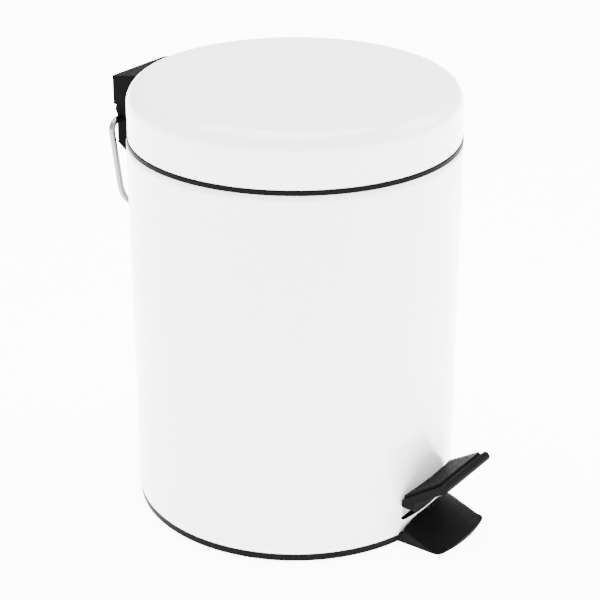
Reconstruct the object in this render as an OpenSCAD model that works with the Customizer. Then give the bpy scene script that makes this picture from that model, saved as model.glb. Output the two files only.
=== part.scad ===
// Round pedal bin: a painted steel body and lid with plastic rim, base, pedal and rear hinge.
// Pressing the pedal turns the lever, which lifts the push rod, which swings the lid's arm.
// Origin: centre of the base, on the floor. +Z is up, the pedal is at -Y and the hinge at +Y.

/* [Body] */
// Outer diameter of the painted body
body_d = 206; // [172:1:250]
// Height from the floor to the top of the closed lid
total_h = 276; // [230:1:335]
// Thickness of the body and lid sheet
sheet_t = 0.6; // [0.4:0.1:1]
// Height of the base band that shows below the body
base_band_h = 5; // [4:0.5:8]
// Height of the rim band that shows between body and lid
rim_band_h = 3; // [2.5:0.5:6]

/* [Lid] */
// Height of the lid, from its lower edge to its top
lid_h = 32.5; // [27:0.5:40]
// How far the lid's side stands in from the body's side
lid_inset = 0.8; // [0.2:0.1:1.2]
// Radius of the lid's rounded top edge
lid_edge_r = 11.3; // [4:0.1:15]
// Angle through which the pedal opens the lid, degrees
lid_open = 75; // [60:1:80]
// Height of the liner ring inside the lid
liner_h = 8; // [6:0.5:10]
// Width of the liner ring
liner_w = 5; // [4:0.5:6]

/* [Rim collar] */
// Width of the collar's top flange
collar_w = 5.7; // [5:0.1:8]
// Wall of the collar's skirt inside the body
collar_wall = 2.3; // [1.5:0.1:3]
// Depth of the bucket's seat below the body's top edge
seat_drop = 10.5; // [8:0.5:14]
// Thickness of the seat ledge
seat_t = 2; // [1.5:0.5:3]

/* [Base] */
// How far the base band stands in from the body's side
band_inset = 0.3; // [0.1:0.1:0.5]
// Height of the base ring that stands up inside the body
upstand_h = 12; // [8:1:20]
// Wall of the base ring
base_wall = 2.4; // [1.6:0.2:4]
// Height of the floor web's underside above the floor
web_z = 2.4; // [1.6:0.2:4]
// Thickness of the floor web
web_t = 2; // [1.5:0.5:3]
// Half width of the tongue under the pedal
tongue_half_w = 28; // [24:0.5:32]
// Reach of the tongue beyond the body
tongue_reach = 29.7; // [24:0.1:36]
// Height of the tongue's ridge where it meets the body
tongue_h = 13.4; // [10:0.1:16]
// Slope of the tongue's top, degrees
tongue_slope = 20.5; // [15:0.5:25]
// Radius of the tongue's crown across its width
tongue_crown_r = 94; // [70:1:120]
// Radius of the tongue's bowed outer edge, seen from above
tongue_bow_r = 95; // [70:1:140]
// Radius of the tongue's corners, seen from above
tongue_corner_r = 4.5; // [3:0.5:6]
// Thickness of the tongue's outer edge
tongue_edge_t = 1; // [0.8:0.1:2.4]

/* [Pedal] */
// Half width of the pedal next to the body
pedal_in_w = 28; // [24:0.5:32]
// Half width of the pedal at its nose
pedal_out_w = 25.7; // [20:0.1:30]
// Length of the tread along its slope
tread_l = 30.2; // [26:0.1:38]
// Tilt of the tread at rest, degrees
tread_tilt = 33.4; // [25:0.1:38]
// Height of the tread's inner edge above the floor
tread_z = 33; // [29:0.1:36]
// Gap between the pedal and the body
pedal_gap = 1.7; // [1.2:0.1:4]
// Thickness of the pedal frame's plate
plate_t = 5; // [4.6:0.1:7]
// Thickness of the tread pad
pad_t = 2; // [1.2:0.1:3]
// How far the tread pad stands in from the frame's edge
pad_inset = 1.2; // [0.6:0.1:2.5]
// Depth of the grooves in the tread pad
groove_t = 0.45; // [0.2:0.05:0.8]

/* [Lever] */
// Thickness of the lever's steel
lever_t = 2; // [1.5:0.1:2.6]
// Width of the lever at the pedal and pivot
lever_w = 49; // [40:1:50]
// Width of the lever behind its pivot
tail_w = 24; // [20:1:28]
// Distance of the pivot inside the front of the body
pivot_in = 48; // [42:1:56]
// Height of the pivot above the floor
pivot_z = 24; // [22:0.5:26]
// Diameter of the pivot pin
pivot_d = 5; // [4:0.5:6]
// Height of the lever's strip where it passes through the slot
neck_z = 26; // [24:0.1:27]

/* [Push rod] */
// Diameter of the push rod
rod_d = 3.2; // [2.6:0.1:4]
// Gap between the rod and the inside of the body
rod_gap = 3.4; // [3:0.1:4.5]
// Radius of the rod's bends, to its centre line
rod_bend_r = 3; // [2.5:0.5:4]

/* [Hinge] */
// Distance of the hinge axis behind the body
hinge_back = 15.2; // [14:0.1:20]
// Height of the hinge axis above the body's top edge
hinge_up = 0.5; // [0:0.1:1]
// Diameter of the hinge pin
pin_d = 3; // [2.5:0.1:4]
// Half width of the hinge bracket
bracket_half_w = 24.6; // [22:0.1:30]
// Distance of the bracket's rear face behind the body
bracket_back = 19.2; // [18:0.1:24]
// Wall of the hinge cover
cover_wall = 1.4; // [1.2:0.1:2]
// Height of the hinge cover at its rear
cover_h = 18.5; // [15:0.5:22]
// Slope of the hinge cover's top, degrees
cover_slope = 10; // [0:1:15]

/* [Carrying handle] */
// Wire diameter of the carrying handle
handle_wire_d = 4; // [3:0.1:4.4]
// Half width of the handle at its top, to the wire's centre
handle_half_w = 34; // [32:0.5:40]
// Drop from the handle's pivot to its lowest run
handle_drop = 64; // [56:1:80]
// Lean of the handle's legs, degrees
leg_lean = 8.5; // [0:0.5:12]
// Radius of the handle's lower bends
handle_bend_r = 24; // [16:1:26]

/* [Bucket] */
// Wall of the inner bucket
bucket_wall = 1.6; // [1.2:0.1:2.4]
// Height of the bucket's underside above the floor
bucket_z = 46; // [44:1:60]
// Draft of the bucket's side, millimetres over its height
bucket_draft = 7; // [2:1:12]
// Radius of the bucket's lower edge
bucket_edge_r = 10; // [4:1:14]
// Wire diameter of the bucket's bail
bail_wire_d = 3; // [2.4:0.1:3.4]

/* [Fasteners] */
// Shank diameter of the bracket and lid screws
screw_d = 4; // [3:0.5:4]
// Shank diameter of the keeper and pedal screws
small_screw_d = 3; // [2.5:0.5:3]
// Head height of every screw
head_h = 2; // [1.4:0.1:2.4]

/* [Fits] */
// Radial clearance of a pin or wire that turns in its hole
run_gap = 0.07; // [0.03:0.01:0.1]
// Radial clearance of a pin or screw that stays still in its hole
still_gap = 0.02; // [0.01:0.01:0.05]
// Clearance between parts that slip into each other
slip_gap = 0.1; // [0.05:0.05:0.2]
// Clearance between parts that move past each other
move_gap = 0.4; // [0.3:0.05:0.5]

/* [Hidden] */
$fn = 96;
bead = 0.02;
head_ratio = 1.8;
big = 400;

// body, rim and lid
body_r = body_d / 2;
shell_in_r = body_r - sheet_t;
lid_z = total_h - lid_h;
shell_top = lid_z - rim_band_h;
lid_r = body_r - lid_inset;
collar_top = lid_z - move_gap;
collar_r = body_r - band_inset;
mouth_r = collar_r - collar_w;
skirt_r = shell_in_r - slip_gap;
skirt_in_r = skirt_r - collar_wall;
seat_z = shell_top - seat_drop;

// push rod and hinge
rod_r = rod_d / 2;
rod_y = shell_in_r - rod_gap - rod_r;
hinge_y = body_r + hinge_back;
hinge_z = shell_top + hinge_up;
arm_reach = hinge_y - rod_y;
// a little under the slot's exact rise, which halves the drift between a straight and a swung lift
lift = 2 * arm_reach * tan(lid_open / 2) * 0.957;
arm_slot_play = 0.65;
arm_slot_mid = arm_reach * (1 + 1 / cos(lid_open / 2)) / 2;
arm_slot_half = arm_reach * (1 / cos(lid_open / 2) - 1) / 2 + 0.2;
arm_x = 4.5;
arm_t = 3;
arm_rim = 1.6;
knuckle_r = pin_d / 2 + 2.7;
ear_r = knuckle_r + 0.9;
ear_x = bracket_half_w - 10;
shelf_drop = 5.2;
knuckle_half_w = ear_x - 0.8;
arm_tip_r = rod_r + arm_slot_play + arm_rim;
arm_sweep_r = arm_slot_mid + arm_slot_half + arm_tip_r;

// lever
pivot_y = pivot_in - body_r;
pivot_r = pivot_d / 2;
tail_arm = rod_y - pivot_y;
lever_turn = 2 * asin(lift / 2 / tail_arm);
// the tail's hole swings on an arc, so it is set out by half the arc's depth
tail_bow = tail_arm * (1 - cos(lever_turn / 2));
hook_y = rod_y - tail_bow / 2;
hook_play = 0.5;
hook_z = pivot_z - lift / 2;
rod_top_z = hinge_z - lift / 2;
ear_top_z = pivot_z + pivot_r + 1.3 + lever_t / 2;
slot_z = tongue_h + 0.2;
slot_top = neck_z + 3;
slot_half_w = pedal_in_w - 1.2;
slot_corner_r = 4.5;

// pedal: y0 is where the tread's inner corners stand
pedal_in_r = body_r + pedal_gap;
pedal_y0 = -sqrt(pedal_in_r ^ 2 - pedal_in_w ^ 2);
nose_r = plate_t / 2 + 0.4;
block_depth = 9.6;
block_z = neck_z - lever_t / 2 - 0.8;
block_y = pedal_y0 - block_depth;
strip_w = -pad_t - plate_t / 2;
groove_w = 1;
groove_step = 3.2;
pedal_corner_r = 3;
pedal_screw_u = 16;
pedal_screw_x = 12;
pedal_floor = 1.3;
pedal_screw_l = pedal_floor + lever_t + 2 * slip_gap + 1;

// base
web_top = web_z + web_t;
band_r = body_r - band_inset;
upstand_r = shell_in_r - slip_gap;
hub_r = 14;
rib_t = 2;
rib_step = 45;
tower_x = lever_w / 2 + 1.2;
tower_t = 7;
tower_half_l = 12;
keeper_h = 6.5;
keeper_screw_y = 8;
keeper_screw_grip = 8;
screw_hole_z = pivot_z - keeper_screw_grip - 1;

// hinge cover
cover_half_w = bracket_half_w + move_gap + cover_wall;
cover_z = hinge_z + 3.5;
cover_y = hinge_y + 4.3 + cover_wall + 0.2;
cover_in_y = lid_r + 2.2;
arm_plate_t = 3;

// bucket
bucket_top_r = rod_y - rod_r - 9.4;
bucket_flange_r = mouth_r - 1.7;
bucket_top = seat_z + 4.2;
bucket_flange_t = 2.5;
bail_z = bucket_top + 0.3 + bail_wire_d / 2;
bail_bend_r = 2.5;
lug_t = 3;
lug_x = bucket_flange_r - 1.8 - lug_t;

// carrying handle
handle_r = handle_wire_d / 2;
handle_y = hinge_y + 0.6;
handle_z = hinge_z - 5.4;
handle_top_bend = 6;
handle_in_x = bracket_half_w - 6;

// Extrudes a Y-Z outline across the width, centred on x = 0.
module across(w) rotate([90, 0, 90]) linear_extrude(w, center = true) children();

// Extrudes a Y-Z outline from x0 over a thickness t.
module slice_at(x0, t) translate([x0 + t / 2, 0, 0]) across(t) children();

// Puts an outline of the pedal's own plane (along the tread, square to it) into the Y-Z plane.
module on_tread() translate([pedal_y0, tread_z]) mirror([1, 0]) rotate(tread_tilt) children();

// A hole or pin along X through the point [y, z].
module cross_pin(p, r, w) translate([0, p.x, p.y]) rotate([0, 90, 0]) cylinder(r = r, h = w, center = true);

// A flat strip of thickness t that follows a row of points.
module bent_strip(points, t) {
    for (i = [0:len(points) - 2]) {
        d = points[i + 1] - points[i];
        translate(points[i]) rotate(atan2(d.y, d.x)) translate([0, -t / 2]) square([norm(d), t]);
    }
    for (i = [1:len(points) - 2]) translate(points[i]) circle(d = t);
}

// A straight run of wire between two points [x, z] of the X-Z plane.
module wire_run(p, q, r) {
    d = q - p;
    translate([p.x, 0, p.y]) rotate([0, atan2(d.x, d.y), 0]) cylinder(r = r, h = norm(d));
}

// A bend of wire in the X-Z plane about the centre c, from one angle over a turn.
// A slight bead at each end joins it to the next run.
module wire_bend(c, bend_r, r, from, turn)
    translate([c.x, 0, c.y]) rotate([90, 0, 0]) rotate([0, 0, from]) {
        rotate_extrude(angle = turn) translate([bend_r, 0]) circle(r = r);
        for (a = [0, turn]) rotate([0, 0, a]) translate([bend_r, 0, 0])
            rotate([90, 0, 0]) cylinder(r = r + bead, h = 8 * bead, center = true);
    }

// A pan-head screw along +Z, its head's seat at z = 0 and its shank above.
module screw(d, l) {
    translate([0, 0, -head_h / 2]) cylinder(d = d, h = l + head_h / 2);
    translate([0, 0, -head_h]) cylinder(d = head_ratio * d, h = head_h);
}

// A 2-D rectangle with round corners, from its lower left corner.
module round_rect(w, h, r) {
    translate([r, 0]) square([w - 2 * r, h]);
    translate([0, r]) square([w, h - 2 * r]);
    for (x = [r, w - r], y = [r, h - r]) translate([x, y]) circle(r = r);
}

// Half outline of a round-edged lid, for turning about the axis.
module cap_outline(r, h, edge) {
    square([r, h - edge]);
    square([r - edge, h]);
    translate([r - edge, h - edge]) circle(r = edge);
}

// Places for the four bracket screws: [angle about the axis, height].
bracket_screw_angle = asin((bracket_half_w - 4.6) / body_r);
bracket_screw_low = shell_top - 30.5;
bracket_screw_high = shell_top - 10.5;
module at_bracket_screws()
    for (side = [-1, 1], z = [bracket_screw_low, bracket_screw_high])
        rotate([0, 0, side * bracket_screw_angle]) translate([0, 0, z]) rotate([-90, 0, 0]) children();

module ring(r_out, r_in, h) difference() {
    cylinder(r = r_out, h = h, $fn = 180);
    translate([0, 0, -1]) cylinder(r = r_in, h = h + 2, $fn = 180);
}

// The gap at the rear that lets the lid's arm and the rod pass.
rear_gap_w = ear_x * 2;
notch_z = hinge_z - arm_sweep_r * sin(lid_open / 2) - arm_tip_r - 1;
plate_half_w = bracket_half_w + 0.6;

module body_shell() color([0.95, 0.95, 0.95]) difference() {
    translate([0, 0, base_band_h]) ring(body_r, shell_in_r, shell_top - base_band_h);
    // slot for the lever at the front
    translate([-slot_half_w, -body_r / 2, slot_z]) rotate([90, 0, 0])
        linear_extrude(body_r) round_rect(2 * slot_half_w, slot_top - slot_z, slot_corner_r);
    // notch for the lid's arm at the rear
    translate([-rear_gap_w / 2, 0, notch_z]) cube([rear_gap_w, body_r + 1, big]);
    at_bracket_screws() cylinder(r = screw_d / 2 + still_gap, h = body_r + 1);
}

module rim_collar() color([0.14, 0.13, 0.13]) difference() {
    rotate_extrude($fn = 180) polygon([
        [mouth_r, collar_top], [collar_r, collar_top], [collar_r, shell_top], [skirt_r, shell_top],
        [skirt_r, seat_z - seat_t], [bucket_flange_r - 4, seat_z - seat_t], [bucket_flange_r - 4, seat_z],
        [skirt_in_r, seat_z], [skirt_in_r, shell_top], [mouth_r, shell_top]
    ]);
    translate([-plate_half_w - 1, 0, 0]) cube([2 * plate_half_w + 2, body_r + 1, big]);
}

// Plan of the tongue: straight sides, rounded corners and a bowed outer edge.
module tongue_plan() {
    bow_y = tongue_bow_r - body_r - tongue_reach;
    inner_w = tongue_half_w - tongue_corner_r;
    corner = [inner_w, bow_y - sqrt((tongue_bow_r - tongue_corner_r) ^ 2 - inner_w ^ 2)];
    out = (corner - [0, bow_y]) / norm(corner - [0, bow_y]);
    reach = 4 * tongue_corner_r;
    difference() {
        intersection() {
            translate([0, bow_y]) circle(r = tongue_bow_r, $fn = 180);
            translate([-tongue_half_w, bow_y - tongue_bow_r])
                square([2 * tongue_half_w, body_r / 2 + tongue_reach]);
        }
        for (side = [0, 1]) mirror([side, 0]) translate(corner) difference() {
            polygon([[0, 0], out * reach, (out + [1, 0]) * reach, [reach, 0]]);
            circle(r = tongue_corner_r);
        }
    }
}

module tongue() difference() {
    intersection() {
        linear_extrude(tongue_h + 4) tongue_plan();
        union() {
            translate([0, -body_r, tongue_h]) rotate([90 + tongue_slope, 0, 0])
                translate([0, -tongue_crown_r, -body_r / 2])
                    cylinder(r = tongue_crown_r, h = body_r + big, $fn = 180);
            translate([-body_r, -2 * body_r, 0]) cube([body_d, body_d, tongue_edge_t]);
        }
    }
    translate([0, 0, base_band_h]) cylinder(r = body_r + slip_gap, h = big, $fn = 180);
    translate([0, 0, -1]) cylinder(r = band_r - 1, h = big, $fn = 180);
}

module base_moulding() color([0.14, 0.13, 0.13]) difference() {
    union() {
        ring(band_r, band_r - base_wall - 1, base_band_h);
        ring(upstand_r, upstand_r - base_wall, base_band_h + upstand_h);
        translate([0, 0, web_z]) cylinder(r = upstand_r - base_wall + 1, h = web_t, $fn = 180);
        // hub and ribs under the web, level with the band
        cylinder(r = hub_r, h = web_top);
        for (a = [0:rib_step:359]) rotate([0, 0, a])
            translate([hub_r - 4, -rib_t / 2, 0]) cube([upstand_r - hub_r + 2, rib_t, web_z + 1]);
        for (side = [-1, 1]) translate([side * (tower_x + tower_t / 2), pivot_y, web_top - 1])
            translate([-tower_t / 2, -tower_half_l, 0])
                cube([tower_t, 2 * tower_half_l, pivot_z - web_top + 1]);
        tongue();
    }
    // the ring is open at the rear for the lever's tail and the rod's hook
    translate([-hook_end_x - 3, body_r / 2, web_top + 0.1]) cube([2 * hook_end_x + 6, body_r, big]);
    // the ring is low behind the lever's slot
    translate([-slot_half_w - 2, -shell_in_r, base_band_h + 1]) cube([2 * slot_half_w + 4, body_r / 3, big]);
    cross_pin([pivot_y, pivot_z], pivot_r + still_gap, big);
    for (side = [-1, 1], end = [-1, 1])
        translate([side * (tower_x + tower_t / 2), pivot_y + end * keeper_screw_y, screw_hole_z])
            cylinder(r = small_screw_d / 2 + still_gap, h = big);
}

module lever_keepers() color([0.14, 0.13, 0.13]) difference() {
    for (side = [-1, 1]) translate([side * (tower_x + tower_t / 2), pivot_y, pivot_z])
        translate([-tower_t / 2, -tower_half_l, 0]) cube([tower_t, 2 * tower_half_l, keeper_h]);
    cross_pin([pivot_y, pivot_z], pivot_r + still_gap, big);
    for (side = [-1, 1], end = [-1, 1])
        translate([side * (tower_x + tower_t / 2), pivot_y + end * keeper_screw_y, 0])
            cylinder(r = small_screw_d / 2 + still_gap, h = big);
}

module keeper_screws() color([0.7, 0.7, 0.72])
    for (side = [-1, 1], end = [-1, 1])
        translate([side * (tower_x + tower_t / 2), pivot_y + end * keeper_screw_y, pivot_z + keeper_h])
            mirror([0, 0, 1]) screw(small_screw_d, keeper_h + keeper_screw_grip);

module lever_pin() color([0.7, 0.7, 0.72])
    cross_pin([pivot_y, pivot_z], pivot_r, 2 * (tower_x + tower_t) + 2);

// Side view of the lever's strip: from the pedal, through the slot, over the pivot, to the tail.
tread_dir = [-cos(tread_tilt), sin(tread_tilt)];
tread_up = [sin(tread_tilt), cos(tread_tilt)];
function tread_point(u, w) = [pedal_y0, tread_z] + u * tread_dir + w * tread_up;
strip_end_u = tread_l - 6;
strip_points = [
    tread_point(strip_end_u, strip_w), tread_point(9, strip_w), [pedal_y0 - 3, neck_z],
    [pivot_y - 8, ear_top_z], [pivot_y + 8, ear_top_z]
];
tail_points = [[pivot_y + 7, ear_top_z], [rod_y - 12, hook_z + 4.6], [rod_y - 6.5, hook_z + 4.6]];
flange_t = 2;
apron_y = 1.6 - sqrt(shell_in_r ^ 2 - lever_w ^ 2 / 4);
apron_z = slot_z + 0.6;

module lever_flange() {
    low_z = pivot_z - 5.6;
    back_y = pivot_y + 6;
    polygon([
        [apron_y, neck_z], [apron_y, apron_z], [apron_y + 4, apron_z], [pivot_y - 6, low_z],
        [back_y, low_z], [back_y + 4, ear_top_z], [pivot_y - 8, ear_top_z]
    ]);
}

module tail_flange() {
    polygon([
        [pivot_y + 7, ear_top_z], [pivot_y + 12, ear_top_z - 5], [rod_y - 14, hook_z - 0.6],
        [rod_y - 1, hook_z - 3.4], [rod_y - 1, hook_z + 4.6], [rod_y - 12, hook_z + 4.6]
    ]);
    translate([hook_y, hook_z]) circle(r = rod_r + hook_play + 1.4);
}

module pedal_lever() color([0.72, 0.72, 0.74]) difference() {
    union() {
        across(lever_w) bent_strip(strip_points, lever_t);
        across(tail_w) bent_strip(tail_points, lever_t);
        for (x0 = [-lever_w / 2, lever_w / 2 - flange_t]) slice_at(x0, flange_t) lever_flange();
        for (x0 = [-tail_w / 2, tail_w / 2 - flange_t]) slice_at(x0, flange_t) tail_flange();
        // apron that closes the slot from inside
        translate([-lever_w / 2, apron_y, apron_z]) cube([lever_w, flange_t, neck_z - apron_z]);
    }
    cross_pin([pivot_y, pivot_z], pivot_r + run_gap, big);
    cross_pin([hook_y, hook_z], rod_r + hook_play, big);
    at_pedal_screws() cylinder(r = small_screw_d / 2 + still_gap, h = 30, center = true);
}

// Places for the two screws that hold the pedal on the strip, square to the tread.
module at_pedal_screws() {
    seat = tread_point(pedal_screw_u, strip_w - lever_t / 2 - slip_gap - pedal_floor);
    for (x = [-pedal_screw_x, pedal_screw_x])
        translate([x, seat.x, seat.y]) rotate([-tread_tilt, 0, 0]) children();
}

// Plan of the pedal: narrower at its nose, hollowed to follow the body.
module pedal_plan(inset) {
    nose_y = -tread_l * cos(tread_tilt) + pedal_y0 - 3 * nose_r;
    difference() {
        polygon([
            [-pedal_in_w + inset, pedal_y0 + 10], [pedal_in_w - inset, pedal_y0 + 10],
            [pedal_in_w - inset, pedal_y0 - 2], [pedal_out_w - 2.6 * inset, nose_y],
            [-pedal_out_w + 2.6 * inset, nose_y], [-pedal_in_w + inset, pedal_y0 - 2]
        ]);
        circle(r = pedal_in_r + (inset > 0 ? 0.6 : 0), $fn = 180);
    }
}

module pedal_bulk() {
    low = -pad_t - plate_t;
    block_u = (block_depth + low * sin(tread_tilt)) / cos(tread_tilt);
    across(2 * pedal_in_w) polygon([
        tread_point(-8, -pad_t), tread_point(tread_l + 1.2, -pad_t), tread_point(tread_l + 1.2, low),
        tread_point(block_u, low), [block_y, block_z - 0.3], [pedal_y0 + 6, block_z]
    ]);
    cross_pin(tread_point(tread_l + 0.6, -pad_t - plate_t / 2), nose_r, 2 * pedal_in_w);
}

module pedal_frame() color([0.14, 0.13, 0.13]) difference() {
    intersection() {
        pedal_bulk();
        linear_extrude(tread_z + tread_l + 20) pedal_plan(0);
        // rounded lower corners
        rotate([90, 0, 0]) linear_extrude(2 * body_r) translate([-pedal_in_w, block_z - 0.3])
            round_rect(2 * pedal_in_w, tread_l + 20, pedal_corner_r);
    }
    // pocket for the lever's strip
    across(lever_w + 2 * slip_gap) bent_strip(strip_points, lever_t + 2 * slip_gap);
    slice_at(-lever_w / 2 - slip_gap, lever_w + 2 * slip_gap) on_tread()
        translate([strip_end_u, strip_w - lever_t / 2 - slip_gap])
            square([slip_gap, lever_t + 2 * slip_gap]);
    at_pedal_screws() cylinder(r = small_screw_d / 2 + still_gap, h = pedal_screw_l + slip_gap);
    at_pedal_screws() translate([0, 0, -20]) cylinder(r = head_ratio * small_screw_d / 2 + slip_gap, h = 20);
}

module pedal_tread() color([0.1, 0.1, 0.1]) difference() {
    intersection() {
        across(2 * pedal_in_w) on_tread() translate([-8, -pad_t])
            square([tread_l + 8 - pad_inset, pad_t]);
        linear_extrude(tread_z + tread_l + 20) pedal_plan(pad_inset);
    }
    for (u = [7:groove_step:tread_l - 4])
        across(2 * (pedal_out_w - 4 * pad_inset)) on_tread()
            translate([u, -groove_t]) square([groove_w, groove_t + 1]);
}

module pedal_screws() color([0.7, 0.7, 0.72]) at_pedal_screws() screw(small_screw_d, pedal_screw_l);

clip_t = 1.2;
hook_end_x = tail_w / 2 + 4;
top_end_x = arm_x + arm_t + 4;

module push_rod() color([0.72, 0.72, 0.74]) translate([0, rod_y, 0]) {
    wire_run([hook_end_x, hook_z], [rod_bend_r, hook_z], rod_r);
    wire_bend([rod_bend_r, hook_z + rod_bend_r], rod_bend_r, rod_r, 180, 90);
    wire_run([0, hook_z + rod_bend_r], [0, rod_top_z - rod_bend_r], rod_r);
    wire_bend([rod_bend_r, rod_top_z - rod_bend_r], rod_bend_r, rod_r, 90, 90);
    wire_run([rod_bend_r, rod_top_z], [top_end_x, rod_top_z], rod_r);
}

module rod_clips() color([0.5, 0.5, 0.52])
    for (p = [[tail_w / 2 + 0.4, hook_z], [arm_x + arm_t + 0.4, rod_top_z]])
        translate([p.x, rod_y, p.y]) rotate([0, 90, 0]) difference() {
            cylinder(r = rod_r + 1.8, h = clip_t);
            translate([0, 0, -1]) cylinder(r = rod_r + still_gap, h = clip_t + 2);
        }

// Curved steel plate inside the body that the bracket is screwed through.
plate_t_in = 1;
plate_low = shell_top - 44;
plate_high = shell_top - 4.5;
guide_h = 8;
guide_z = plate_low + 3;
guide_stub_r = 3;
guide_w = 14;
bracket_screw_l = 11;

module backing_plate() color([0.72, 0.72, 0.74]) difference() {
    intersection() {
        translate([0, 0, plate_low])
            ring(shell_in_r - still_gap, shell_in_r - plate_t_in, plate_high - plate_low);
        translate([-plate_half_w, 0, 0]) cube([2 * plate_half_w, body_r, big]);
    }
    translate([-rear_gap_w / 2, 0, notch_z]) cube([rear_gap_w, body_r, big]);
    at_bracket_screws() cylinder(r = screw_d / 2 + still_gap, h = body_r);
    translate([0, 0, guide_z + guide_h / 2]) rotate([-90, 0, 0])
        cylinder(r = guide_stub_r + still_gap, h = body_r);
}

module rod_guide() color([0.14, 0.13, 0.13]) difference() {
    union() {
        intersection() {
            translate([-guide_w / 2, rod_y - rod_r - 2, guide_z]) cube([guide_w, 20, guide_h]);
            cylinder(r = shell_in_r - plate_t_in - still_gap, h = big, $fn = 180);
        }
        intersection() {
            translate([0, rod_y, guide_z + guide_h / 2]) rotate([-90, 0, 0])
                cylinder(r = guide_stub_r, h = 20);
            cylinder(r = shell_in_r - 0.1, h = big, $fn = 180);
        }
    }
    translate([0, rod_y, 0]) cylinder(r = rod_r + run_gap, h = big);
}

module bracket_screws() color([0.7, 0.7, 0.72])
    at_bracket_screws() translate([0, 0, shell_in_r - plate_t_in - 0.1]) screw(screw_d, bracket_screw_l);

// Side view of the bracket: slanted underside, upright rear face and a rounded ear at the hinge axis.
module bracket_side() {
    rear_y = body_r + bracket_back;
    rear_top = hinge_z - shelf_drop;
    polygon([
        [body_r - 6, shell_top - 41.4], [rear_y, shell_top - 22], [rear_y, rear_top],
        [hinge_y + 3.8, rear_top], [hinge_y + 3.8, hinge_z - 3], [hinge_y, hinge_z],
        [body_r + 9, shell_top + 0.5], [body_r - 6, shell_top + 0.5]
    ]);
    translate([hinge_y, hinge_z]) circle(r = knuckle_r);
    intersection() {
        translate([hinge_y, hinge_z]) circle(r = ear_r);
        translate([hinge_y - 10, hinge_z - 20]) square([20, 23.1]);
    }
}

module hinge_bracket() color([0.14, 0.13, 0.13]) difference() {
    across(2 * bracket_half_w) bracket_side();
    translate([0, 0, -1]) cylinder(r = body_r + still_gap, h = big, $fn = 180);
    // the well that the lid's arm and knuckle work in
    translate([-ear_x, 0, notch_z]) cube([2 * ear_x, body_r + bracket_back - 1.8, big]);
    translate([-ear_x, body_r, hinge_z - shelf_drop]) cube([2 * ear_x, big, big]);
    at_bracket_screws() cylinder(r = screw_d / 2 + still_gap, h = shell_in_r - plate_t_in + bracket_screw_l);
    cross_pin([hinge_y, hinge_z], pin_d / 2 + still_gap, big);
    for (side = [-1, 1]) translate([side * (handle_in_x - 0.5 + 10), 0, 0])
        cross_pin([handle_y, handle_z], handle_r + run_gap, 20);
}

module hinge_pin() color([0.7, 0.7, 0.72]) cross_pin([hinge_y, hinge_z], pin_d / 2, 2 * bracket_half_w - 0.4);

module lid_shell() color([0.95, 0.95, 0.95]) difference() {
    translate([0, 0, lid_z]) rotate_extrude($fn = 180) cap_outline(lid_r, lid_h, lid_edge_r);
    translate([0, 0, lid_z - 1]) rotate_extrude($fn = 180)
        cap_outline(lid_r - sheet_t, lid_h - sheet_t + 1, lid_edge_r - sheet_t);
    at_lid_screws() cylinder(r = screw_d / 2 + still_gap, h = body_r);
}

liner_z = lid_z + 2.5;
liner_r = lid_r - sheet_t - slip_gap;
lid_screw_z = liner_z + liner_h + head_ratio * screw_d / 2 + 0.4;
lid_screw_x = 8;
buffer_r = 2.2;
buffer_stem_r = 1.2;
buffer_stem_l = 3.5;
buffer_gap = 0.3;
module at_lid_screws() for (side = [-1, 1])
    translate([side * lid_screw_x, 0, lid_screw_z]) rotate([-90, 0, 0]) children();

module lid_liner() color([0.14, 0.13, 0.13]) difference() {
    translate([0, 0, liner_z]) ring(liner_r, liner_r - liner_w, liner_h);
    at_buffers() translate([0, 0, -1]) cylinder(r = buffer_stem_r + still_gap, h = buffer_stem_l + 1.5);
}

// Three buffers under the liner, one at the front and two at the sides.
module at_buffers() for (a = [30, 150, 270]) rotate([0, 0, a])
    translate([liner_r - liner_w / 2, 0, liner_z]) children();

module lid_buffers() color([0.25, 0.25, 0.25]) at_buffers() {
    translate([0, 0, collar_top + buffer_gap - liner_z])
        cylinder(r = buffer_r, h = liner_z - collar_top - buffer_gap);
    cylinder(r = buffer_stem_r, h = buffer_stem_l);
}

// Direction of the lift arm at rest, seen from the side.
arm_dir = [-cos(lid_open / 2), -sin(lid_open / 2)];

module lift_arm_side() {
    base = [hinge_y, hinge_z];
    far = base + arm_dir * (arm_slot_mid + arm_slot_half);
    bent_strip([base, far], 2 * arm_tip_r);
    translate(far) circle(r = arm_tip_r);
}

module lift_arm_slot() {
    base = [hinge_y, hinge_z];
    near = base + arm_dir * (arm_slot_mid - arm_slot_half);
    far = base + arm_dir * (arm_slot_mid + arm_slot_half);
    bent_strip([near, far], 2 * (rod_r + arm_slot_play));
    for (p = [near, far]) translate(p) circle(r = rod_r + arm_slot_play);
}

module lid_arm() color([0.6, 0.6, 0.62]) difference() {
    union() {
        cross_pin([hinge_y, hinge_z], knuckle_r, 2 * knuckle_half_w);
        slice_at(arm_x, arm_t) lift_arm_side();
        // web from the knuckle to the plate behind the lid
        across(2 * knuckle_half_w) bent_strip([
            [hinge_y, hinge_z], [hinge_y - 5, cover_z + 4], [cover_in_y + arm_plate_t / 2, cover_z + 6]
        ], arm_plate_t);
        translate([-knuckle_half_w, cover_in_y, cover_z + 4.5])
            cube([2 * knuckle_half_w, arm_plate_t, lid_screw_z + screw_d - cover_z - 4]);
    }
    cross_pin([hinge_y, hinge_z], pin_d / 2 + run_gap, big);
    slice_at(arm_x - 1, arm_t + 2) lift_arm_slot();
    at_lid_screws() cylinder(r = screw_d / 2 + still_gap, h = big);
}

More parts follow.
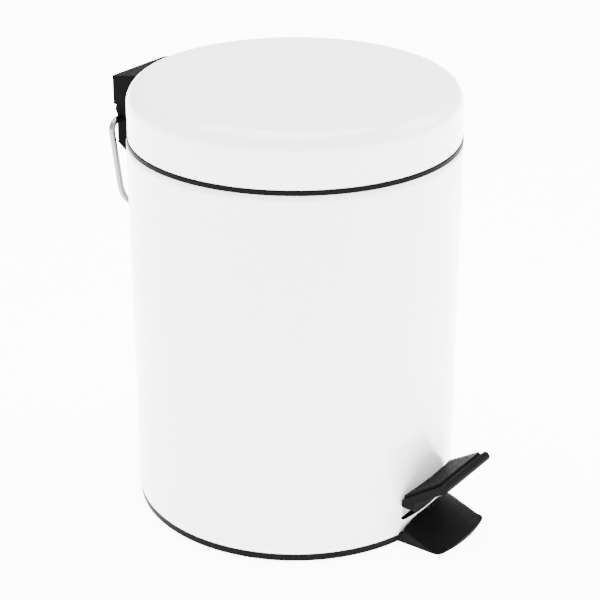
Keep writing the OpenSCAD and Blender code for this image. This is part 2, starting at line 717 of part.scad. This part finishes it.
lid_screw_seat = sqrt((lid_r - sheet_t) ^ 2 - (lid_screw_x + head_ratio * screw_d / 2) ^ 2) - 0.05;
module lid_screws() color([0.7, 0.7, 0.72])
    at_lid_screws() translate([0, 0, lid_screw_seat])
        screw(screw_d, cover_in_y + arm_plate_t - lid_screw_seat + 1);

// Side view of the hinge cover, grown or shrunk by its walls.
module cover_side(rear, top) {
    rear_y = cover_y - rear;
    rise = tan(cover_slope);
    run = rear_y - body_r / 2;
    polygon([
        [rear_y, cover_z - 1], [rear_y, cover_z + cover_h - top],
        [rear_y - run, cover_z + cover_h - top + run * rise],
        [rear_y - run, cover_z - 1]
    ]);
}

module hinge_cover() color([0.14, 0.13, 0.13]) difference() {
    intersection() {
        across(2 * cover_half_w) cover_side(0, 0);
        translate([0, 0, cover_z]) linear_extrude(big)
            translate([-cover_half_w, 0]) round_rect(2 * cover_half_w, cover_y, 1.8);
        translate([-big, lid_r * 0.6, 0]) cube(2 * big);
    }
    cylinder(r = lid_r + still_gap, h = big, $fn = 180);
    intersection() {
        across(2 * (bracket_half_w + move_gap)) cover_side(cover_wall + 0.2, cover_wall + 0.4);
        translate([-big, cover_in_y - still_gap, 0]) cube(2 * big);
    }
    at_lid_screws() cylinder(r = screw_d / 2 + still_gap, h = cover_in_y + arm_plate_t + 1.4);
}

// Half outline of the bucket, grown inwards by t.
module bucket_outline(t) {
    foot_r = bucket_top_r - bucket_draft - t;
    edge = bucket_edge_r - t;
    polygon(concat(
        [[0, bucket_z + t]],
        [for (a = [-90:15:0]) [foot_r - edge + edge * cos(a), bucket_z + t + edge + edge * sin(a)]],
        [[bucket_top_r - t, bucket_top + (t > 0 ? 1 : 0)], [0, bucket_top + (t > 0 ? 1 : 0)]]
    ));
}

module inner_bucket() color([0.2, 0.2, 0.21]) difference() {
    union() {
        difference() {
            union() {
                rotate_extrude($fn = 180) bucket_outline(0);
                translate([0, 0, seat_z]) cylinder(r = bucket_flange_r, h = bucket_flange_t, $fn = 180);
            }
            rotate_extrude($fn = 180) bucket_outline(bucket_wall);
        }
        for (x0 = [-lug_x - lug_t, lug_x]) translate([x0, -4, seat_z + 1])
            cube([lug_t, 8, bail_z - seat_z + 2.6]);
    }
    // room for the lid's arm behind the bucket
    translate([-ear_x, sqrt(bucket_top_r ^ 2 - ear_x ^ 2) + 1.6, seat_z - 5]) cube([2 * ear_x, 40, big]);
    cross_pin([0, bail_z], bail_wire_d / 2 + run_gap, big);
}

module bucket_bail() color([0.8, 0.8, 0.82]) {
    r = bail_wire_d / 2;
    bow_r = lug_x - 1.5 - bail_bend_r;
    translate([0, 0, bail_z]) rotate([-90, 0, 0]) {
        wire_bend([0, -bail_bend_r], bow_r, r, 180, 180);
        for (side = [0, 1]) mirror([side, 0, 0]) {
            wire_bend([bow_r + bail_bend_r, -bail_bend_r], bail_bend_r, r, 90, 90);
            wire_run([bow_r + bail_bend_r, 0], [lug_x + lug_t + 1, 0], r);
        }
    }
}

module carry_handle() color([0.85, 0.85, 0.87]) translate([0, handle_y, handle_z]) {
    turn = 90 + leg_lean;
    side_dir = [cos(180 + leg_lean), sin(180 + leg_lean)];
    top_c = [handle_top_bend - handle_half_w, -handle_top_bend];
    rise = handle_drop - handle_bend_r - handle_top_bend;
    shift = (handle_bend_r - handle_top_bend - rise * side_dir.y) / -side_dir.x;
    low_c = [top_c.x + shift, handle_bend_r - handle_drop];
    for (side = [0, 1]) mirror([side, 0, 0]) {
        wire_run([-handle_in_x, 0], [top_c.x, 0], handle_r);
        wire_bend(top_c, handle_top_bend, handle_r, 90, turn);
        wire_run(top_c + handle_top_bend * side_dir, low_c + handle_bend_r * side_dir, handle_r);
        wire_bend(low_c, handle_bend_r, handle_r, 180 + leg_lean, 90 - leg_lean);
        wire_run([low_c.x, -handle_drop], [0.2, -handle_drop], handle_r);
    }
}

body_shell();
rim_collar();
base_moulding();
lever_keepers();
keeper_screws();
lever_pin();
pedal_lever();
pedal_frame();
pedal_tread();
pedal_screws();
push_rod();
rod_clips();
rod_guide();
backing_plate();
bracket_screws();
hinge_bracket();
hinge_pin();
lid_shell();
lid_liner();
lid_buffers();
lid_arm();
lid_screws();
hinge_cover();
inner_bucket();
bucket_bail();
carry_handle();
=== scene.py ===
import math
import bmesh
import bpy
import numpy as np
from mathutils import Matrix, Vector


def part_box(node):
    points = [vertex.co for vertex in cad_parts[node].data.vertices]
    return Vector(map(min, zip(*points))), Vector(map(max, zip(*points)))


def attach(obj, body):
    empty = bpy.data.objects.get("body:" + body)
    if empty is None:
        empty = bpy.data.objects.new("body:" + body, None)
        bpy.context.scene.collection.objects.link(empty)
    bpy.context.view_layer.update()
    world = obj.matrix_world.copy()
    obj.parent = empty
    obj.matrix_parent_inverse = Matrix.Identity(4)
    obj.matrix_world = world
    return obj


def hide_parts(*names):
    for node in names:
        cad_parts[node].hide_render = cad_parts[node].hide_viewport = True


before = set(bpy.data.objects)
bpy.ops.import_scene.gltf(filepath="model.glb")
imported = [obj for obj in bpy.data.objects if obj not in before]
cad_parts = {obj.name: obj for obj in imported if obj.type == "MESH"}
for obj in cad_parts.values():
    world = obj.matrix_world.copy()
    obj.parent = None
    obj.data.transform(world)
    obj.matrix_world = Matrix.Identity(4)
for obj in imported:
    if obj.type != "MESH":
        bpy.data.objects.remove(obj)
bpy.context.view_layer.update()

# Lengths below are in millimetres unless noted, and every mesh is scaled to metres as it is built.
mm = 0.001


def nodeBox(node):
    low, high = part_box(node)
    return [v / mm for v in low], [v / mm for v in high]


# Camera, first of all
cameraSet = {
    "place": (-820.0, -584.9, 591.2),
    "aim": (0.7417, 0.5257, -0.4165),  # viewing direction
    "lens": 104.08,
    "sensor": 36.0,
}


def makeCamera():
    data = bpy.data.cameras.new("camera")
    data.lens = cameraSet["lens"]
    data.sensor_width = cameraSet["sensor"]
    data.clip_end = 20.0
    cam = bpy.data.objects.new("camera", data)
    bpy.context.scene.collection.objects.link(cam)
    cam.location = [v * mm for v in cameraSet["place"]]
    cam.rotation_euler = Vector(cameraSet["aim"]).to_track_quat("-Z", "Y").to_euler()
    bpy.context.scene.camera = cam


makeCamera()
print("camera ready")


# Shader helpers

# A shader socket that takes part in sums: operators add Math nodes.
class Flow:
    def __init__(self, paint, socket):
        self.paint = paint
        self.socket = socket

    def join(self, operation, *values):
        return self.paint.node("ShaderNodeMath", {"operation": operation}, dict(enumerate(values)))

    def __add__(self, other):
        return self.join("ADD", self, other)

    def __radd__(self, other):
        return self.join("ADD", other, self)

    def __sub__(self, other):
        return self.join("SUBTRACT", self, other)

    def __rsub__(self, other):
        return self.join("SUBTRACT", other, self)

    def __mul__(self, other):
        return self.join("MULTIPLY", self, other)

    def __rmul__(self, other):
        return self.join("MULTIPLY", other, self)

    def __truediv__(self, other):
        return self.join("DIVIDE", self, other)

    def __pow__(self, other):
        return self.join("POWER", self, other)

    def clamp(self):
        return self.paint.node("ShaderNodeClamp", {}, {"Value": self})


# A material under construction.
class Paint:
    def __init__(self, name):
        self.material = bpy.data.materials.new(name)
        self.material.use_nodes = True
        self.tree = self.material.node_tree
        self.tree.nodes.clear()

    def node(self, kind, settings=None, inputs=None, output=0):
        made = self.tree.nodes.new(kind)
        for key, value in (settings or {}).items():
            if key == "stops":
                ramp = made.color_ramp
                for i, (place, shade) in enumerate(value):
                    stop = ramp.elements[i] if i < 2 else ramp.elements.new(place)
                    stop.position = place
                    stop.color = (shade, shade, shade, 1)
            else:
                setattr(made, key, value)
        for key, value in (inputs or {}).items():
            target = made.inputs[key]
            if isinstance(value, Flow):
                self.tree.links.new(value.socket, target)
            elif value is not None:
                target.default_value = value
        return Flow(self, made.outputs[output]) if made.outputs else made

    def place(self, stretch=(1, 1, 1)):
        spot = self.node("ShaderNodeTexCoord", output=3)  # the Object output
        return self.node("ShaderNodeMapping", {}, {"Vector": spot, "Scale": stretch})

    def noise(self, scale, detail=3.0, rough=0.5, stretch=(1, 1, 1)):
        where = self.place(stretch)
        inputs = {"Vector": where, "Scale": scale, "Detail": detail, "Roughness": rough}
        return self.node("ShaderNodeTexNoise", {}, inputs)

    def grains(self, scale):
        return self.node("ShaderNodeTexVoronoi", {}, {"Vector": self.place(), "Scale": scale})

    def ramp(self, value, stops):
        return self.node("ShaderNodeValToRGB", {"stops": stops}, {"Fac": value})

    def blend(self, amount, first, second):
        mix = self.tree.nodes.new("ShaderNodeMix")
        mix.data_type = "RGBA"
        # inputs 0, 6 and 7 are the factor and the two colours, and output 2 is the colour
        for socket, value in zip((mix.inputs[0], mix.inputs[6], mix.inputs[7]), (amount, first, second)):
            if isinstance(value, Flow):
                self.tree.links.new(value.socket, socket)
            else:
                socket.default_value = value
        return Flow(self, mix.outputs[2])

    def bump(self, height, strength, distance, under=None):
        inputs = {"Height": height, "Strength": strength, "Distance": distance}
        if under is not None:
            inputs["Normal"] = under
        return self.node("ShaderNodeBump", {}, inputs)

    def shade(self, **inputs):
        names = {
            "color": "Base Color", "rough": "Roughness", "metal": "Metallic", "normal": "Normal",
            "coat": "Coat Weight", "coatRough": "Coat Roughness", "ior": "IOR",
            "specular": "Specular IOR Level", "glow": "Emission Color", "glowStrength": "Emission Strength",
        }
        shader = self.node("ShaderNodeBsdfPrincipled", {}, {names[k]: v for k, v in inputs.items()})
        self.node("ShaderNodeOutputMaterial", {}, {"Surface": shader})
        return self.material


# A grey of the given value; warm above 0 shifts it from blue to red.
def grey(value, warm=0.0):
    return (value * (1 + warm), value, value * (1 - warm), 1)


# Materials
whiteSet = {
    "base": grey(0.68, 0.006), "shaded": grey(0.64, 0.010), "rough": 0.24, "coat": 0.35, "coatRough": 0.09,
    "cloudScale": 9, "smudgeScale": 55, "peelScale": 520, "dustScale": 2600,
}


# Gloss enamel: faint clouds and smudges, orange peel and a little dust.
def whitePaint():
    look = whiteSet
    p = Paint("whitePaint")
    cloud = p.noise(look["cloudScale"], 3)
    smudge = p.noise(look["smudgeScale"], 5, 0.62)
    dust = p.noise(look["dustScale"], 2)
    peel = p.noise(look["peelScale"], 2, 0.4)
    color = p.blend((cloud * 0.5 + smudge * 0.35).clamp(), look["base"], look["shaded"])
    rough = look["rough"] + p.ramp(smudge, [(0.42, 0), (0.72, 1)]) * 0.06 + dust * 0.03
    normal = p.bump(peel, 0.05, 0.0006, p.bump(dust, 0.03, 0.0001))
    return p.shade(color=color, rough=rough, normal=normal, coat=look["coat"], coatRough=look["coatRough"],
                   specular=0.5)


# Black moulding: a fine spark grain of the given scale and depth, flow clouds and patches of scuffs.
def moulded(name, base, worn, rough, grain, depth, ior=1.16):
    p = Paint(name)
    spark = p.noise(grain, 4, 0.6)
    pits = p.grains(grain * 0.9)
    flow = p.noise(28, 3, 0.5, (1, 1, 0.4))
    scuff = p.ramp(p.noise(240, 6, 0.7, (1, 0.16, 1)), [(0.60, 0), (0.72, 1)])
    patch = p.ramp(p.noise(45, 3), [(0.45, 0), (0.75, 1)])
    marks = (scuff * patch * 0.5).clamp()
    tone = (flow * 0.45 + spark * 0.3).clamp()
    color = p.blend(marks, p.blend(tone, base, grey(base[0] * 1.5)), worn)
    roughness = (rough - 0.05) + spark * 0.12 + marks * 0.18
    normal = p.bump(spark, 0.35, depth, p.bump(pits, 0.25, depth))
    return p.shade(color=color, rough=roughness, normal=normal, specular=0.07, ior=ior)


# Zinc-plated steel, drawn or brushed along one axis (0, 1 or 2).
def brushedSteel(name, base, rough, along):
    p = Paint(name)
    stretch = [1.0, 1.0, 1.0]
    stretch[along] = 0.03
    lines = p.noise(1500, 4, 0.7, stretch)
    cloud = p.noise(60, 4)
    color = p.blend((cloud * 0.6 + lines * 0.3).clamp(), grey(base), grey(base * 0.72, 0.02))
    roughness = rough + lines * 0.16 + cloud * 0.08
    return p.shade(color=color, rough=roughness, metal=0.55, normal=p.bump(lines, 0.18, 0.00012))


def chromeWire():
    p = Paint("chromeWire")
    haze = p.noise(130, 5, 0.6)
    draw = p.noise(2200, 3, 0.5, (1, 1, 0.04))
    color = p.blend(haze, grey(0.17), grey(0.12, -0.01))
    roughness = 0.10 + haze * 0.12 + draw * 0.06
    return p.shade(color=color, rough=roughness, metal=1.0, normal=p.bump(draw, 0.12, 0.00006))


def bufferRubber():
    p = Paint("bufferRubber")
    bloom = p.noise(220, 4)
    pores = p.noise(3800, 2)
    color = p.blend(bloom, grey(0.05), grey(0.085))
    return p.shade(color=color, rough=0.62 + bloom * 0.2, normal=p.bump(pores, 0.3, 0.0001))


def backdropPaper():
    p = Paint("backdropPaper")
    fibre = p.noise(60, 3)
    color = p.blend(fibre, grey(0.93), grey(0.915))
    return p.shade(color=color, rough=0.85, normal=p.bump(fibre, 0.05, 0.0004), specular=0.2,
                   glow=color, glowStrength=8.0)


paints = {
    "white": whitePaint(),
    "black": moulded("satinBlack", base=grey(0.0024, 0.02), worn=grey(0.009),
                     rough=0.40, grain=2400, depth=0.00009),
    "hingeBlack": moulded("hingeBlack", base=grey(0.0018, 0.02), worn=grey(0.007),
                          rough=0.54, grain=2400, depth=0.00009, ior=1.10),
    "tread": moulded("treadBlack", base=grey(0.0028, 0.02), worn=grey(0.011),
                     rough=0.46, grain=1300, depth=0.00022),
    "bucket": moulded("bucketBlack", base=grey(0.03), worn=grey(0.06),
                      rough=0.44, grain=1800, depth=0.0001),
    "steel": brushedSteel("zincSteel", base=0.62, rough=0.24, along=1),
    "rodSteel": brushedSteel("rodSteel", base=0.66, rough=0.2, along=2),
    "casting": brushedSteel("zincCasting", base=0.44, rough=0.40, along=0),
    "chrome": chromeWire(),
    "rubber": bufferRubber(),
    "paper": backdropPaper(),
}
print("materials ready:", len(paints))


# Mesh helpers

# A mesh object from arrays of points (mm) and quads, with seams and poles merged.
def meshFrom(name, points, faces, paint, smoothAngle=40.0):
    data = bpy.data.meshes.new(name)
    data.vertices.add(len(points))
    data.vertices.foreach_set("co", (np.asarray(points, dtype=np.float32) * mm).ravel())
    data.loops.add(faces.size)
    data.loops.foreach_set("vertex_index", faces.astype(np.int32).ravel())
    data.polygons.add(len(faces))
    data.polygons.foreach_set("loop_start", np.arange(0, faces.size, faces.shape[1], dtype=np.int32))
    data.update(calc_edges=True)
    work = bmesh.new()
    work.from_mesh(data)
    bmesh.ops.remove_doubles(work, verts=work.verts, dist=1e-6)
    bmesh.ops.dissolve_degenerate(work, edges=work.edges, dist=1e-7)
    bmesh.ops.recalc_face_normals(work, faces=work.faces)
    work.to_mesh(data)
    work.free()
    data.materials.append(paint)
    piece = bpy.data.objects.new(name, data)
    bpy.context.scene.collection.objects.link(piece)
    data.shade_smooth()
    data.set_sharp_from_angle(angle=math.radians(smoothAngle))
    return piece


# Quads of a rows x cols grid of points, joined end to start where it wraps.
def gridFaces(rows, cols, wrapRows=False, wrapCols=False):
    r = np.arange(rows if wrapRows else rows - 1)
    c = np.arange(cols if wrapCols else cols - 1)
    r, c = np.meshgrid(r, c, indexing="ij")
    nextR = (r + 1) % rows
    nextC = (c + 1) % cols
    quads = [r * cols + c, nextR * cols + c, nextR * cols + nextC, r * cols + nextC]
    return np.stack(quads, -1).reshape(-1, 4)


# Surface of revolution: outline point (r, z) at angle a goes to (r cos a, r sin a, z).
def turned(name, outline, paint, segments):
    a = np.linspace(0, 2 * np.pi, segments, endpoint=False)[:, None]
    r, z = outline[:, 0][None, :], outline[:, 1][None, :]
    points = np.stack([r * np.cos(a), r * np.sin(a), z + 0 * a], -1).reshape(-1, 3)
    return meshFrom(name, points, gridFaces(segments, len(outline), True, True), paint, 50)


# Round wire: a circle of the given radius carried along a flat path, its ends domed over.
def wire(name, path, normals, radius, paint, around=24):
    t = np.gradient(path, axis=0)
    t /= np.linalg.norm(t, axis=1)[:, None]
    side = np.cross(t, normals)
    a = np.linspace(0, 2 * np.pi, around, endpoint=False)
    ring = np.cos(a)[None, :, None] * side[:, None, :] + np.sin(a)[None, :, None] * normals[:, None, :]
    body = path[:, None, :] + radius * ring
    dome = np.linspace(0, np.pi / 2, 7)[1:]
    first = path[0] - t[0] * radius * np.sin(dome)[:, None]
    first = first[:, None, :] + radius * np.cos(dome)[:, None, None] * ring[0][None]
    last = path[-1] + t[-1] * radius * np.sin(dome)[:, None]
    last = last[:, None, :] + radius * np.cos(dome)[:, None, None] * ring[-1][None]
    rows = np.concatenate([first[::-1], body, last])
    return meshFrom(name, rows.reshape(-1, 3), gridFaces(len(rows), around, False, True), paint, 60)


# Points on a circle of the plane, from one angle in degrees to another.
def arc(center, radius, start, end, steps):
    a = np.radians(np.linspace(start, end, steps))
    return np.stack([center[0] + radius * np.cos(a), center[1] + radius * np.sin(a)], -1)


# Rounds the piece's sharp edges.
def finish(piece, width, segments=3, angle=35.0):
    bevel = piece.modifiers.new("edges", "BEVEL")
    bevel.width = width * mm
    bevel.segments = segments
    bevel.limit_method = "ANGLE"
    bevel.angle_limit = math.radians(angle)
    bevel.harden_normals = False
    bevel.use_clamp_overlap = True


# A copy of a CAD node's mesh with its loose triangles merged and its edges rounded.
def refined(node, name, paint, width, angle=40.0):
    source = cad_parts[node]
    data = source.data.copy()
    data.name = name
    work = bmesh.new()
    work.from_mesh(data)
    bmesh.ops.remove_doubles(work, verts=work.verts, dist=2e-6)
    bmesh.ops.dissolve_limit(work, angle_limit=math.radians(1.0), verts=work.verts, edges=work.edges)
    work.to_mesh(data)
    work.free()
    data.materials.clear()
    data.materials.append(paint)
    piece = bpy.data.objects.new(name, data)
    bpy.context.scene.collection.objects.link(piece)
    data.shade_smooth()
    data.set_sharp_from_angle(angle=math.radians(angle))
    if width > 0:
        finish(piece, width)
    return piece


# Puts a piece on its CAD body, in place of the CAD nodes it covers.
def fit(piece, body, slot, *nodes):
    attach(piece, body)
    if nodes:
        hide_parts(*nodes)


# White body and lid
lidSet = {
    "sheet": 0.6, "edge": 11.3, "hem": 1.6, "hemFold": 0.45, "hemRise": 4.4,
    "edgeSteps": 24, "topSteps": 12, "foldSteps": 5, "sideSteps": 6, "around": 320,
}


# Outline: rolled hem, upright side, quarter-round edge, flat top, then back inside the sheet.
def lidSkin():
    low, high = nodeBox("lid_shell")
    r, z0, z1 = high[0], low[2], high[2]
    t, edge, fold = lidSet["sheet"], lidSet["edge"], lidSet["hemFold"]
    lipR = r - lidSet["hem"]
    around, across, sides = lidSet["edgeSteps"], lidSet["topSteps"], lidSet["sideSteps"]
    outer = arc((r - edge, z1 - edge), edge, 0, 90, around)
    flat = np.stack([np.linspace(r - edge, 0, across)[1:], np.full(across - 1, z1)], -1)
    inside = np.stack([np.linspace(0, r - edge, across)[:-1], np.full(across - 1, z1 - t)], -1)
    inner = arc((r - edge, z1 - edge), edge - t, 90, 0, around)
    lowPart = arc((r - fold, z0 + fold), fold, -90, 0, lidSet["foldSteps"])
    hem = arc((lipR + fold, z0 + fold), fold, 180, 270, lidSet["foldSteps"])
    side = np.stack([np.full(sides, r), np.linspace(z0 + fold, z1 - edge, sides + 2)[1:-1]], -1)
    back = np.stack([np.full(sides, r - t), np.linspace(z1 - edge, z0 + 5, sides)], -1)
    lip = np.array([[lipR, z0 + lidSet["hemRise"]]])
    return np.concatenate([lowPart, side, outer, flat, inside, inner, back, lip, hem])


fit(turned("lidSkin", lidSkin(), paints["white"], lidSet["around"]), "lid", "white_paint", "lid_shell")

bodySet = {
    "sheet": 0.6, "columns": 288,
    "slotHalf": 26.8, "slotLow": 13.6, "slotHigh": 29.0, "corner": 4.5,
    "notchHalf": 14.6, "notchLow": 217.7,
    # how far past the slot the grid is left open, and the rings that fill that window
    "marginSide": 3.2, "marginLow": 2.2, "marginHigh": 3.0, "patchRings": 5,
}


# Cylinder x = r sin(a), y = -r cos(a), with a rounded slot in front and a notch at the rear.
# The slot's edge is joined to the grid around it by rings that change shape bit by bit.
def bodySkin():
    low, high = nodeBox("body_shell")
    r = high[0]
    s = bodySet
    cols = s["columns"]
    a = np.linspace(-np.pi, np.pi, cols, endpoint=False)
    # rows: close together round the slot, wider up the body, and one on the notch's lower edge
    z = np.concatenate([
        [low[2]], np.linspace(8, 42, 18), np.linspace(46, 214, 35), [s["notchLow"]],
        np.linspace(222, high[2], 5),
    ])
    rows = len(z)
    aa, zz = np.meshgrid(a, z, indexing="xy")
    points = np.stack([r * np.sin(aa), -r * np.cos(aa), zz], -1).reshape(-1, 3)
    faces = gridFaces(rows, cols, False, True)
    # cells to leave out: a window round the slot and the notch
    mid = points[faces].mean(1)
    slotAngle = np.arcsin((s["slotHalf"] + s["marginSide"]) / r)
    colLow = np.searchsorted(a, -slotAngle)
    colHigh = np.searchsorted(a, slotAngle)
    rowLow = np.searchsorted(z, s["slotLow"] - s["marginLow"])
    rowHigh = np.searchsorted(z, s["slotHigh"] + s["marginHigh"])
    midA = np.arctan2(mid[:, 0], -mid[:, 1])
    inColumns = (midA > a[colLow]) & (midA < a[colHigh])
    inWindow = inColumns & (mid[:, 2] > z[rowLow]) & (mid[:, 2] < z[rowHigh])
    notchA = np.pi - np.arcsin(s["notchHalf"] / r)
    inNotch = (np.abs(midA) > notchA) & (mid[:, 2] > s["notchLow"])
    faces = faces[~(inWindow | inNotch)]
    # ring of window points, bottom, right, top, left
    c = np.arange(colLow, colHigh)
    w = np.arange(rowLow, rowHigh)
    lowZ, topZ = z[rowLow], z[rowHigh]
    ringA = np.concatenate([
        a[c], np.full(len(w), a[colHigh]), a[c[::-1] + 1], np.full(len(w), a[colLow]),
    ])
    ringZ = np.concatenate([np.full(len(c), lowZ), z[w], np.full(len(c), topZ), z[w[::-1] + 1]])
    ringX = r * np.sin(ringA)
    # the same ring squeezed on to the slot's outline
    slotMid = (s["slotLow"] + s["slotHigh"]) / 2
    hw, hh = s["slotHalf"], (s["slotHigh"] - s["slotLow"]) / 2
    halfA = r * np.sin(a[colHigh])
    px = ringX / halfA * hw
    pz = (ringZ - (lowZ + topZ) / 2) / ((topZ - lowZ) / 2) * hh
    kx, kz = hw - s["corner"], hh - s["corner"]
    dx = np.sign(px) * np.maximum(np.abs(px) - kx, 0)
    dz = np.sign(pz) * np.maximum(np.abs(pz) - kz, 0)
    inCorner = (np.abs(px) > kx) & (np.abs(pz) > kz)
    reach = np.where(inCorner, np.maximum(np.hypot(dx, dz), 1e-6), 1)
    px = np.where(inCorner, np.sign(px) * kx + dx / reach * s["corner"], px)
    pz = np.where(inCorner, np.sign(pz) * kz + dz / reach * s["corner"], pz)
    t = np.linspace(0, 1, s["patchRings"])[:, None]
    x = (1 - t) * ringX + t * px
    zRing = (1 - t) * ringZ + t * (pz + slotMid)
    patch = np.stack([x, -np.sqrt(r * r - x * x), zRing], -1).reshape(-1, 3)
    patchFaces = gridFaces(s["patchRings"], len(ringX), False, True) + len(points)
    allPoints = np.concatenate([points, patch])
    piece = meshFrom("bodySkin", allPoints, np.concatenate([faces, patchFaces]), paints["white"], 40)
    wall = piece.modifiers.new("sheet", "SOLIDIFY")
    wall.thickness = s["sheet"] * mm
    wall.offset = -1
    wall.use_even_offset = True
    return piece


fit(bodySkin(), "bin", "white_paint", "body_shell")
print("white skins ready")

# Wires
handleSet = {
    "wire": 4.0, "halfWidth": 34.0, "drop": 64.0, "lean": 8.5,
    "topBend": 6.0, "lowBend": 24.0, "inside": 18.6,
}


# Centre line in a plane of constant y: out of the bracket, over a bend, down a leaning leg
# and round below.
def carryHandle():
    h = handleSet
    low, high = nodeBox("carry_handle")
    y = (low[1] + high[1]) / 2
    top = high[2] - h["wire"] / 2
    lean = math.radians(h["lean"])
    down = np.array([-math.cos(lean), -math.sin(lean)])
    topC = np.array([h["topBend"] - h["halfWidth"], -h["topBend"]])
    rise = h["drop"] - h["lowBend"] - h["topBend"]
    shift = (h["lowBend"] - h["topBend"] - rise * down[1]) / -down[0]
    lowC = np.array([topC[0] + shift, h["lowBend"] - h["drop"]])
    start = np.stack([np.linspace(-h["inside"], topC[0], 6), np.zeros(6)], -1)
    bend = arc(topC, h["topBend"], 90, 180 + h["lean"], 18)
    foot = lowC + h["lowBend"] * down
    leg = bend[-1] + (foot - bend[-1]) * np.linspace(0, 1, 10)[:, None]
    sweep = arc(lowC, h["lowBend"], 180 + h["lean"], 270, 28)
    half = np.concatenate([start, bend[1:], leg[1:], sweep[1:]])
    other = half[::-1] * [-1, 1]
    run = np.stack([np.linspace(half[-1, 0], -half[-1, 0], 8)[1:-1], np.full(6, -h["drop"])], -1)
    flat = np.concatenate([half, run, other])
    path = np.stack([flat[:, 0], np.full(len(flat), y), flat[:, 1] + top], -1)
    normals = np.tile([0.0, 1.0, 0.0], (len(path), 1))
    return wire("carryHandle", path, normals, h["wire"] / 2, paints["chrome"])


fit(carryHandle(), "handle", "chrome_wire", "carry_handle")
print("handle ready")

# Moulded parts taken over from the frame. The last value is the rounding of their edges
mouldings = {
    "rim_collar": ("rimBand", "bin", "black_plastic", "black", 0),
    "base_moulding": ("baseMoulding", "bin", "black_plastic", "black", 0.5),
    "hinge_bracket": ("hingeBracket", "bin", "black_plastic", "hingeBlack", 0.45),
    "hinge_cover": ("hingeCover", "lid", "black_plastic", "hingeBlack", 0.5),
    "pedal_frame": ("pedalFrame", "pedal", "black_plastic", "black", 0.9),
    "pedal_tread": ("pedalTread", "pedal", "black_rubber", "tread", 0.18),
}
for node, (name, body, slot, paint, width) in mouldings.items():
    fit(refined(node, name, paints[paint], width), body, slot, node)
print("mouldings ready")

# Nodes that stay as they are, with finished materials
finishes = {
    "lever_keepers": "black", "keeper_screws": "steel", "lever_pin": "steel", "pedal_lever": "steel",
    "pedal_screws": "steel", "push_rod": "rodSteel", "rod_clips": "casting", "rod_guide": "black",
    "backing_plate": "steel", "bracket_screws": "steel", "hinge_pin": "hingeBlack", "lid_liner": "black",
    "lid_buffers": "rubber", "lid_arm": "casting", "lid_screws": "steel", "inner_bucket": "bucket",
    "bucket_bail": "chrome",
}
for node, paint in finishes.items():
    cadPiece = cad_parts[node]
    for material in cadPiece.material_slots:
        material.material = paints[paint]
print("frame nodes painted")


# Floor and light
stageSet = {"half": 6000.0, "drop": 0.05, "worldStrength": 3.1}

# lights: place, aim and size in metres, power in watts
lightSet = {
    "keyLight": {"place": (1.3, -1.1, 1.3), "aim": (0, 0, 0.15), "size": (1.2, 1.2), "power": 55},
    "topLight": {"place": (0.0, 0.2, 1.8), "aim": (0, 0, 0.1), "size": (1.6, 1.6), "power": 110},
}


def makeStage():
    size, z = stageSet["half"], -stageSet["drop"]
    points = np.array([[-size, -size, z], [size, -size, z], [size, size, z], [-size, size, z]])
    floor = meshFrom("floor", points, np.array([[0, 1, 2, 3]]), paints["paper"])


def areaLight(name, place, aim, size, power):
    data = bpy.data.lights.new(name, "AREA")
    data.shape = "RECTANGLE"
    data.size, data.size_y = size
    data.energy = power
    lamp = bpy.data.objects.new(name, data)
    bpy.context.scene.collection.objects.link(lamp)
    lamp.location = place
    lamp.rotation_euler = (Vector(aim) - Vector(place)).to_track_quat("-Z", "Y").to_euler()


def makeWorld():
    world = bpy.data.worlds.new("studio")
    world.use_nodes = True
    world.node_tree.nodes["Background"].inputs["Color"].default_value = (1, 1, 1, 1)
    world.node_tree.nodes["Background"].inputs["Strength"].default_value = stageSet["worldStrength"]
    bpy.context.scene.world = world


makeStage()
makeWorld()
for lightName, setting in lightSet.items():
    areaLight(lightName, **setting)
print("stage ready")
